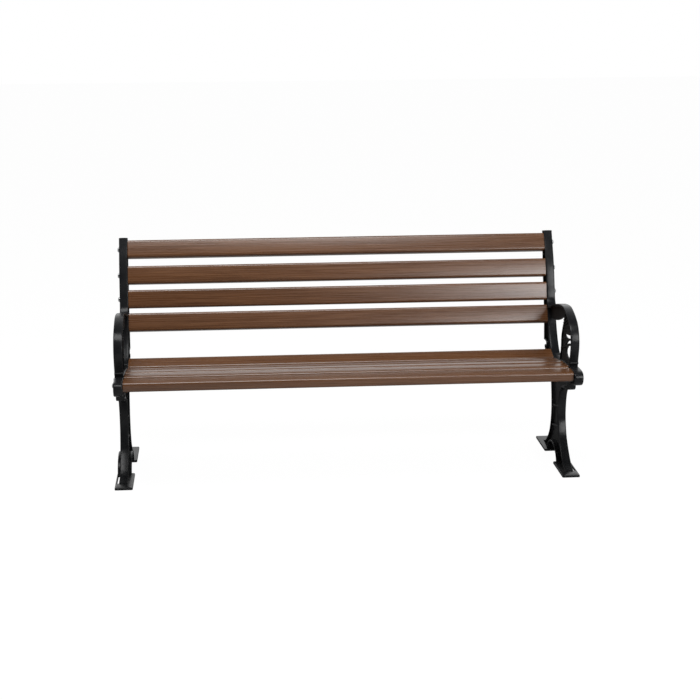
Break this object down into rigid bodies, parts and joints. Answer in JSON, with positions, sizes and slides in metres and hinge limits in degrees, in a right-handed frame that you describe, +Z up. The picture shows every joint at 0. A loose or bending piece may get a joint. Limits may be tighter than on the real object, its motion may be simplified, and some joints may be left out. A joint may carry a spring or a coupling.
{
  "type": "garden bench",
  "caption": "Garden bench: cast metal end frames with armrests, scroll legs and foot plates, joined by wooden back and seat slats.",
  "frame": {"origin": "centre of the footprint of the whole bench, on the ground", "axes": "+X along the bench, to the right as seen from the front; -Y towards the front; +Z up"},
  "size_m": [1.596, 0.64, 0.781],
  "materials": {
    "cast_metal": "black powder coat, satin, over a casting",
    "slat_wood": "brown wood-look board, fine lengthwise grain, satin",
    "bolt_steel": "bright plated steel",
    "insert_steel": "zinc plated steel"
  },
  "bodies": {
    "root": {"back_slat_1": "slat_wood", "back_slat_2": "slat_wood", "back_slat_3": "slat_wood", "back_slat_4": "slat_wood", "bolt_left_back_slat_1": "bolt_steel", "bolt_left_back_slat_2": "bolt_steel", "bolt_left_back_slat_3": "bolt_steel", "bolt_left_back_slat_4": "bolt_steel", "bolt_left_seat_slat_1": "bolt_steel", "bolt_left_seat_slat_2": "bolt_steel", "bolt_left_seat_slat_3": "bolt_steel", "bolt_left_seat_slat_4": "bolt_steel", "bolt_left_seat_slat_5": "bolt_steel", "bolt_right_back_slat_1": "bolt_steel", "bolt_right_back_slat_2": "bolt_steel", "bolt_right_back_slat_3": "bolt_steel", "bolt_right_back_slat_4": "bolt_steel", "bolt_right_seat_slat_1": "bolt_steel", "bolt_right_seat_slat_2": "bolt_steel", "bolt_right_seat_slat_3": "bolt_steel", "bolt_right_seat_slat_4": "bolt_steel", "bolt_right_seat_slat_5": "bolt_steel", "end_frame_left": "cast_metal", "end_frame_right": "cast_metal", "insert_left_back_slat_1": "insert_steel", "insert_left_back_slat_2": "insert_steel", "insert_left_back_slat_3": "insert_steel", "insert_left_back_slat_4": "insert_steel", "insert_left_seat_slat_1": "insert_steel", "insert_left_seat_slat_2": "insert_steel", "insert_left_seat_slat_3": "insert_steel", "insert_left_seat_slat_4": "insert_steel", "insert_left_seat_slat_5": "insert_steel", "insert_right_back_slat_1": "insert_steel", "insert_right_back_slat_2": "insert_steel", "insert_right_back_slat_3": "insert_steel", "insert_right_back_slat_4": "insert_steel", "insert_right_seat_slat_1": "insert_steel", "insert_right_seat_slat_2": "insert_steel", "insert_right_seat_slat_3": "insert_steel", "insert_right_seat_slat_4": "insert_steel", "insert_right_seat_slat_5": "insert_steel", "seat_slat_1": "slat_wood", "seat_slat_2": "slat_wood", "seat_slat_3": "slat_wood", "seat_slat_4": "slat_wood", "seat_slat_5": "slat_wood"}
  },
  "joints": []
}
